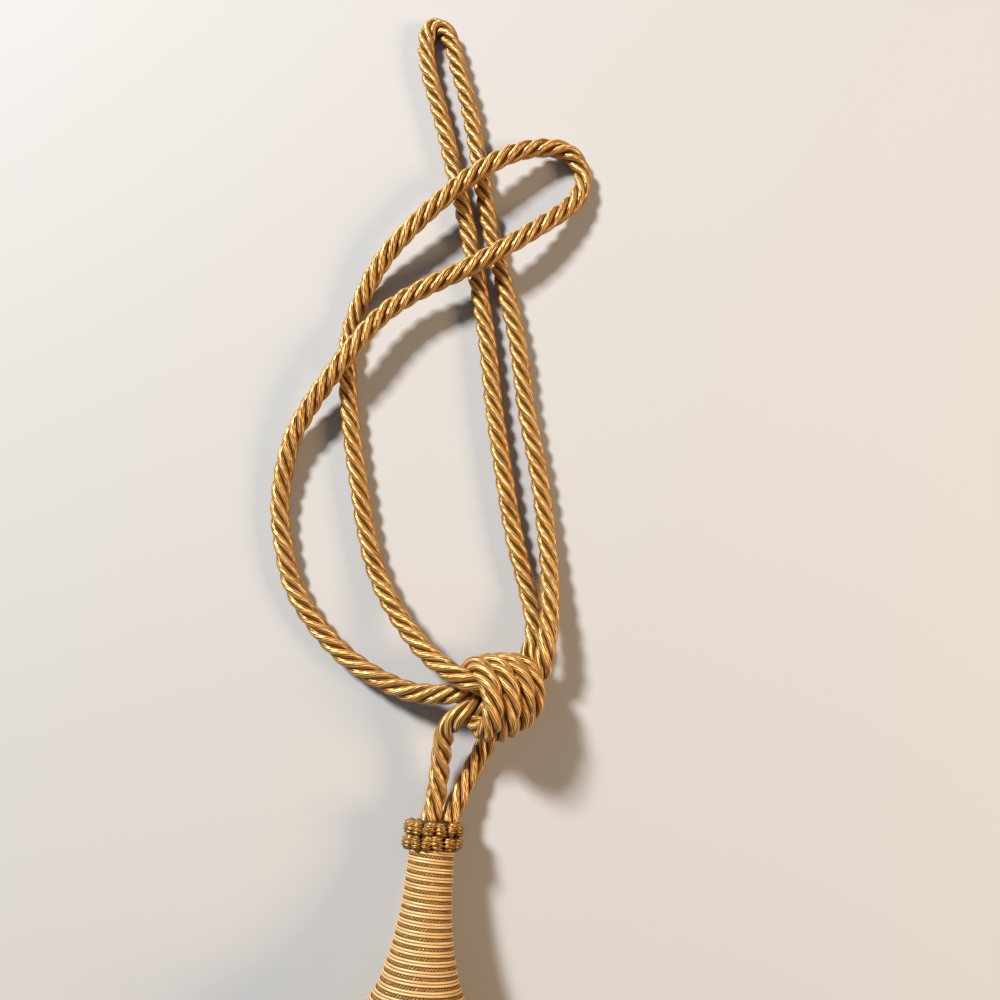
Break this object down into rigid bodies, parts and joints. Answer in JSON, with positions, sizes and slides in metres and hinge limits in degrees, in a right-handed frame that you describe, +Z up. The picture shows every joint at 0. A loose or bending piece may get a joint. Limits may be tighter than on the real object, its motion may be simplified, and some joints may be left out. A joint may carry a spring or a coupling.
{
  "type": "curtain tieback tassel",
  "caption": "Curtain tieback of thick twisted gold cord laid in loops and bound by a coil, with a tassel: beaded ruff, cord-wound bell head and fringe skirt",
  "frame": {"origin": "bottom centre of the bounding box of the knot, neck cords, ruff, head and skirt, on the surface the tieback lies on; the free cord loops reach beyond it", "axes": "+Y runs along the tassel, from the ends of the skirt towards the knot and the loops; +X is to the right seen from above with the loops away from the viewer; +Z is up, away from the surface"},
  "size_m": [0.1617, 0.6431, 0.0654],
  "materials": {
    "gold_cord": "glossy rayon rope",
    "ruff_gimp": "antique gold gimp",
    "head_winding": "satin wound cord over a turned wooden mould",
    "skirt_yarn": "twisted yarn"
  },
  "bodies": {
    "root": {"upper_loop": "gold_cord", "side_loop": "gold_cord", "knot_coil": "gold_cord", "neck_left": "gold_cord", "neck_right": "gold_cord", "ruff": "ruff_gimp", "wound_head": "head_winding", "skirt": "skirt_yarn"}
  },
  "joints": []
}
